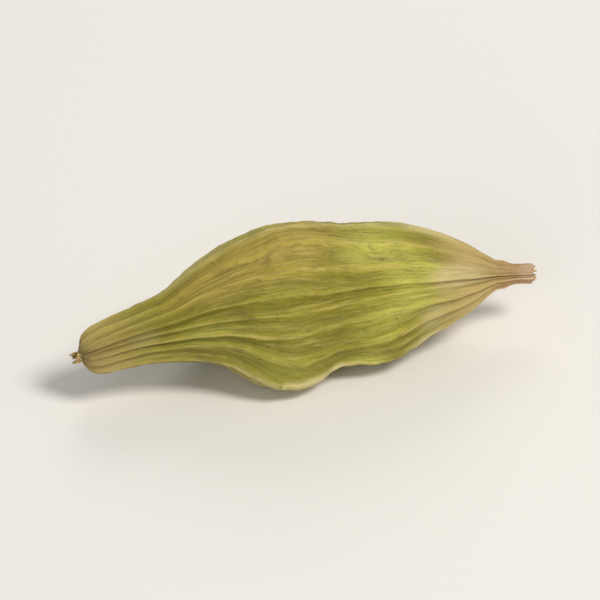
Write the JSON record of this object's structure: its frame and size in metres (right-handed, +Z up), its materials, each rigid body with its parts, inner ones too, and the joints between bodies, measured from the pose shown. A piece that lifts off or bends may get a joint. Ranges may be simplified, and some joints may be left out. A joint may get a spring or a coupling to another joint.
{
  "type": "dried green cardamom pod",
  "caption": "Dried green cardamom pod: a ribbed three-sided husk with a narrow neck and tip at one end and a short cut stalk at the other, lying on one face.",
  "frame": {"origin": "middle of the small flat spot that the pod rests on", "axes": "+X along the pod from its tip to the cut end of its stalk, +Y to the side, +Z up from the surface it lies on"},
  "size_m": [0.0186, 0.0065, 0.006],
  "materials": {
    "husk": "dry fibrous green-olive husk with straw-coloured ribs and ends, satin"
  },
  "bodies": {
    "root": {"pod": "husk"}
  },
  "joints": []
}
